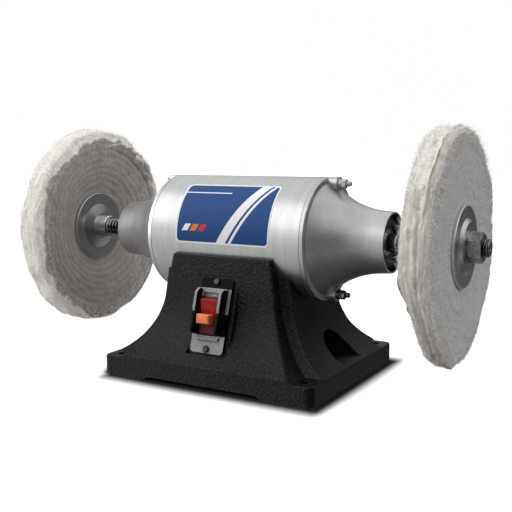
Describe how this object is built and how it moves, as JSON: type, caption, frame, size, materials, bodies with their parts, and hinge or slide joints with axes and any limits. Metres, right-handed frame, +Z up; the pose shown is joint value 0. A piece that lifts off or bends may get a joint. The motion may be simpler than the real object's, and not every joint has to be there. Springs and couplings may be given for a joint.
{
  "type": "bench buffing machine",
  "caption": "Bench buffing machine: a double-ended motor on a flared cast pedestal turns sewn cotton wheels clamped between steel flanges; rocker switch with a pull-out key.",
  "frame": {"origin": "on the floor under the middle of the base", "axes": "+X along the shaft to the right-hand wheel, -Y towards the switch side, +Z up"},
  "size_m": [0.468, 0.1999, 0.234],
  "materials": {
    "cast_black": "black wrinkle-textured paint on cast iron",
    "tube_metal": "brushed round the tube",
    "bell_metal": "satin silver",
    "bright_steel": "machined and polished",
    "bolt_steel": "zinc plated",
    "bearing_steel": "ground",
    "lamination": "stacked electrical steel",
    "copper_wire": "enamelled copper, varnished",
    "cage_metal": "die cast",
    "cotton": "sewn cotton cloth",
    "black_plastic": "moulded, fine grain",
    "grey_plastic": "satin grey",
    "red_plastic": "glossy red",
    "orange_plastic": "glossy orange",
    "black_rubber": "matt",
    "cover_paint": "black painted sheet steel",
    "capacitor_case": "plain white can"
  },
  "bodies": {
    "base": {"base_casting": "cast_black", "bottom_cover": "cover_paint", "bottom_cover_screws": "bolt_steel", "switch_plate": "black_plastic", "switch_bezel": "grey_plastic", "switch_body": "black_plastic", "switch_screws": "bolt_steel", "cord_grommet": "black_rubber", "run_capacitor": "capacitor_case", "capacitor_clamp": "bolt_steel", "clamp_screws": "bolt_steel", "terminal_block": "black_plastic", "terminal_screws": "bolt_steel", "motor_tube": "tube_metal", "right_end_bell": "bell_metal", "left_end_bell": "bell_metal", "through_bolts": "bolt_steel", "through_bolt_washers": "bolt_steel", "through_bolt_nuts": "bolt_steel", "saddle_bolts": "bolt_steel", "saddle_washers": "bolt_steel", "saddle_nuts": "bolt_steel", "lead_grommet": "black_rubber", "stator_core": "lamination", "bearing_wave_washer": "bearing_steel", "right_winding": "copper_wire", "left_winding": "copper_wire", "right_bearing_outer_ring": "bearing_steel", "left_bearing_outer_ring": "bearing_steel", "right_bearing_seals": "black_rubber", "left_bearing_seals": "black_rubber"},
    "rotor": {"shaft": "bright_steel", "rotor_core": "lamination", "rotor_cage": "cage_metal", "right_bearing_inner_ring": "bearing_steel", "left_bearing_inner_ring": "bearing_steel", "right_inner_flange": "bright_steel", "left_inner_flange": "bright_steel", "right_outer_flange": "bright_steel", "left_outer_flange": "bright_steel", "right_buffing_wheel": "cotton", "left_buffing_wheel": "cotton", "right_spindle_nut": "bright_steel", "left_spindle_nut": "bright_steel"},
    "right_balls": {"right_bearing_balls": "bearing_steel"},
    "left_balls": {"left_bearing_balls": "bearing_steel"},
    "rocker": {"switch_rocker": "red_plastic"},
    "key": {"safety_key": "orange_plastic"}
  },
  "joints": [
    {"name": "shaft_spin", "type": "hinge", "parent": "base", "child": "rotor", "pos_m": [0, 0, 0.134], "axis": [1, 0, 0], "continuous": true},
    {"name": "right_ball_orbit", "type": "hinge", "parent": "base", "child": "right_balls", "pos_m": [0.136, 0, 0.134], "axis": [1, 0, 0], "continuous": true},
    {"name": "left_ball_orbit", "type": "hinge", "parent": "base", "child": "left_balls", "pos_m": [-0.136, 0, 0.134], "axis": [1, 0, 0], "continuous": true},
    {"name": "rocker_tip", "type": "hinge", "parent": "base", "child": "rocker", "pos_m": [0, -0.07335, 0.06413], "axis": [-1, 0, 0], "range_deg": [0, 22]},
    {"name": "key_pull", "type": "slide", "parent": "rocker", "child": "key", "axis": [0, -0.9945, 0.1045], "range_m": [0, 0.018]}
  ],
  "couplings": [
    {"joint": "right_ball_orbit", "follows": "shaft_spin", "ratio": 0.38177},
    {"joint": "left_ball_orbit", "follows": "shaft_spin", "ratio": 0.38177}
  ]
}
